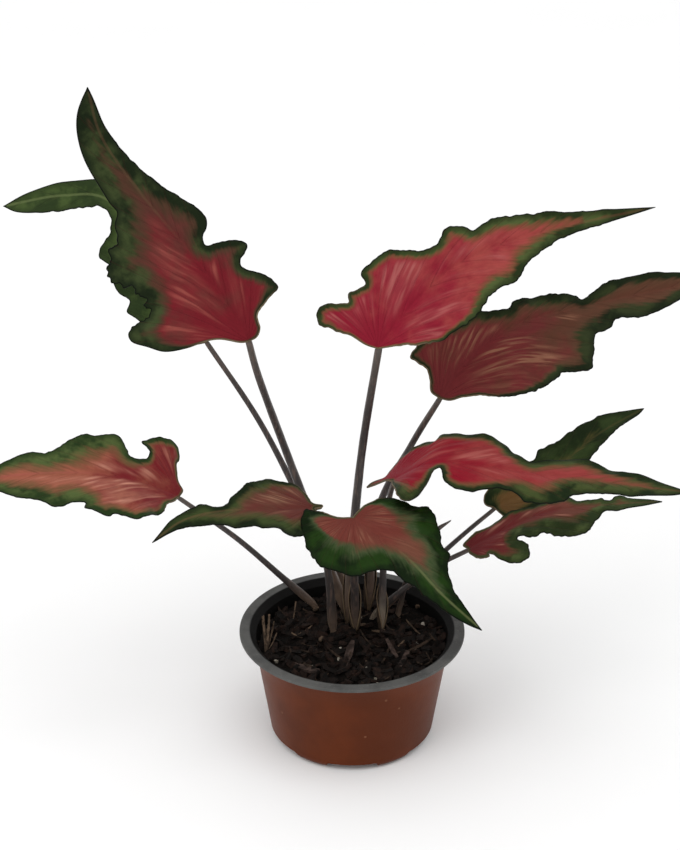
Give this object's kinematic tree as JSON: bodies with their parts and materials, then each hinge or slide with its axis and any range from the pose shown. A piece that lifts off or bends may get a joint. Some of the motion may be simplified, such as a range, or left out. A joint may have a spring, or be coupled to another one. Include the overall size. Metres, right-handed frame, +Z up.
{
  "type": "potted caladium",
  "caption": "Potted caladium with arrow shaped red and green leaves on long stalks, in a shallow round nursery pot filled with bark soil.",
  "frame": {"origin": "middle of the pot's foot, on the surface that it stands on", "axes": "+Z up, +X to the right seen from the front, the front is -Y"},
  "size_m": [0.381, 0.1596, 0.3541],
  "materials": {
    "pot": "satin terracotta plastic with a grey lip and inside",
    "soil": "rough dark bark compost",
    "leaf": "satin leaf, red with pale veins and a green edge",
    "stalk": "satin, dark brown purple"
  },
  "bodies": {
    "root": {"pot": "pot", "soil": "soil", "blade_tall_left": "leaf", "stalk_tall_left": "stalk", "blade_behind_left": "leaf", "stalk_behind_left": "stalk", "blade_tall_right": "leaf", "stalk_tall_right": "stalk", "blade_back_right": "leaf", "stalk_back_right": "stalk", "blade_low_left": "leaf", "stalk_low_left": "stalk", "blade_mid_left": "leaf", "stalk_mid_left": "stalk", "blade_front": "leaf", "stalk_front": "stalk", "blade_mid_right": "leaf", "stalk_mid_right": "stalk", "blade_rear_right": "leaf", "stalk_rear_right": "stalk", "blade_low_right": "leaf", "stalk_low_right": "stalk", "young_shoot": "stalk"}
  },
  "joints": []
}
